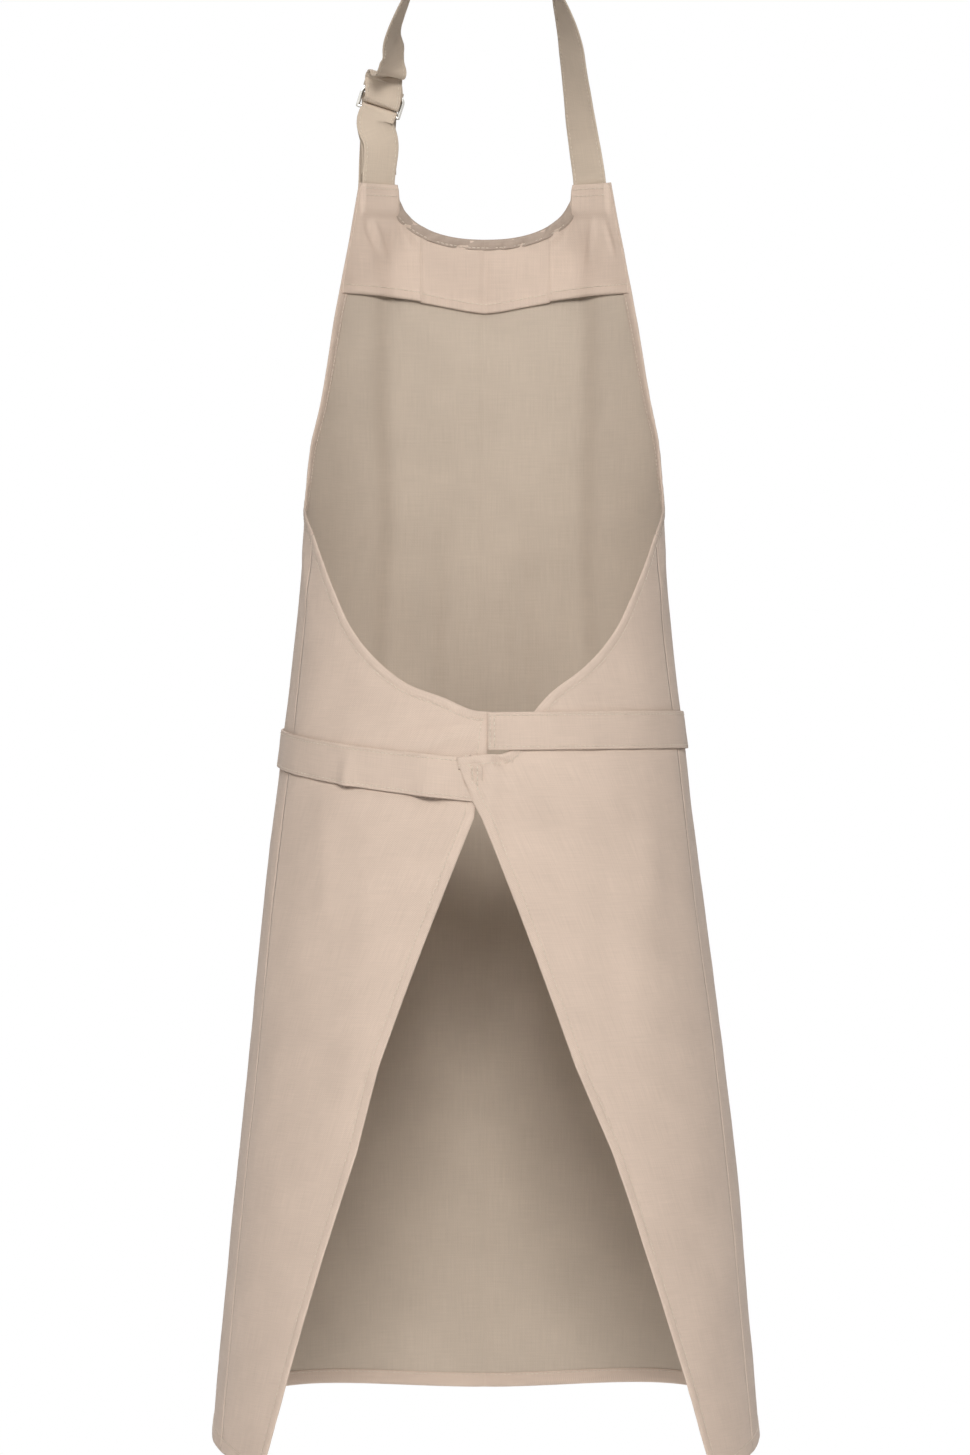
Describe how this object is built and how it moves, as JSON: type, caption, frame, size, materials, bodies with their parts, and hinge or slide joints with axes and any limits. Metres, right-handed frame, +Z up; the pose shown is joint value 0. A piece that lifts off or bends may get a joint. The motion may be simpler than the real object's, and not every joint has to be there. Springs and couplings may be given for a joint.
{
  "type": "bib apron",
  "caption": "Full-length bib apron in worn shape, with an adjustable neck strap through two D-rings, back panels that cross and ties bowed at the front.",
  "frame": {"origin": "on the wearer's upright axis, level with the middle of the strap at the nape of the neck", "axes": "+X to the wearer's right-hand side as seen from behind, +Y towards the wearer's front, +Z up"},
  "size_m": [0.4022, 0.3006, 1.119],
  "materials": {
    "twill": "matt cotton twill, beige",
    "strap_twill": "matt cotton twill, two layers, edges stitched",
    "thread": "matt sewing thread",
    "nickel": "nickel-plated wire, bright"
  },
  "bodies": {
    "neck_arch": {"neck_strap_nape": "strap_twill"},
    "apron": {"bib_front": "twill", "skirt_front": "twill", "side_panel_left": "twill", "side_panel_right": "twill", "back_panel_left": "twill", "back_panel_right": "twill", "facing_centre": "twill", "facing_left": "twill", "facing_right": "twill", "neckline_binding": "twill", "bib_hem_left": "twill", "bib_hem_right": "twill", "armhole_hem_left": "twill", "armhole_hem_right": "twill", "bottom_hem_front": "twill", "bottom_hem_left": "twill", "bottom_hem_right": "twill", "waist_tie_left": "strap_twill", "waist_tie_right": "strap_twill", "tie_stitches_left": "thread", "tie_stitches_right": "thread", "strap_stitches_left": "thread", "strap_stitches_right": "thread", "strap_stub": "strap_twill", "neck_strap_right": "strap_twill", "neck_strap_left": "strap_twill", "bow_knot": "strap_twill", "bow_loop_left": "strap_twill", "bow_loop_right": "strap_twill"},
    "buckle": {"ring_inner": "nickel", "ring_outer": "nickel", "strap_threaded": "strap_twill", "strap_tail_upper": "strap_twill"},
    "strap_tail": {"strap_tail_end": "strap_twill"},
    "flap_left": {"flap_left": "twill", "flap_hem_left": "twill", "flap_bottom_hem_left": "twill"},
    "flap_right": {"flap_right": "twill", "flap_hem_right": "twill", "flap_bottom_hem_right": "twill"},
    "tie_end_left": {"tie_end_left": "strap_twill"},
    "tie_end_right": {"tie_end_right": "strap_twill"}
  },
  "joints": [
    {"name": "neck_adjust", "type": "slide", "parent": "neck_arch", "child": "apron", "axis": [0, 0, -1], "range_m": [-0.03, 0.03], "deforming": ["neck_strap_right", "neck_strap_left"]},
    {"name": "buckle_swing", "type": "hinge", "parent": "apron", "child": "buckle", "pos_m": [-0.079, 0.077, -0.121], "axis": [0.9511, 0, -0.309], "range_deg": [0, 6]},
    {"name": "tail_slide", "type": "slide", "parent": "buckle", "child": "strap_tail", "axis": [-0.0597, 0.0796, -0.995], "range_m": [-0.06, 0.06], "deforming": ["strap_tail_upper"]},
    {"name": "flap_swing_left", "type": "hinge", "parent": "apron", "child": "flap_left", "pos_m": [-0.18096, -0.04928, -0.992], "axis": [-0.0906, -0.0405, -0.9951], "range_deg": [0, 30]},
    {"name": "flap_swing_right", "type": "hinge", "parent": "apron", "child": "flap_right", "pos_m": [0.18096, -0.04928, -0.992], "axis": [-0.0906, 0.0405, 0.9951], "range_deg": [0, 30]},
    {"name": "tie_end_swing_left", "type": "hinge", "parent": "apron", "child": "tie_end_left", "pos_m": [0, 0.11476, -0.5985], "axis": [1, 0, 0], "range_deg": [0, 60]},
    {"name": "tie_end_swing_right", "type": "hinge", "parent": "apron", "child": "tie_end_right", "pos_m": [0, 0.11476, -0.5985], "axis": [1, 0, 0], "range_deg": [0, 60]}
  ],
  "couplings": [
    {"joint": "tail_slide", "follows": "neck_adjust", "ratio": -2}
  ]
}
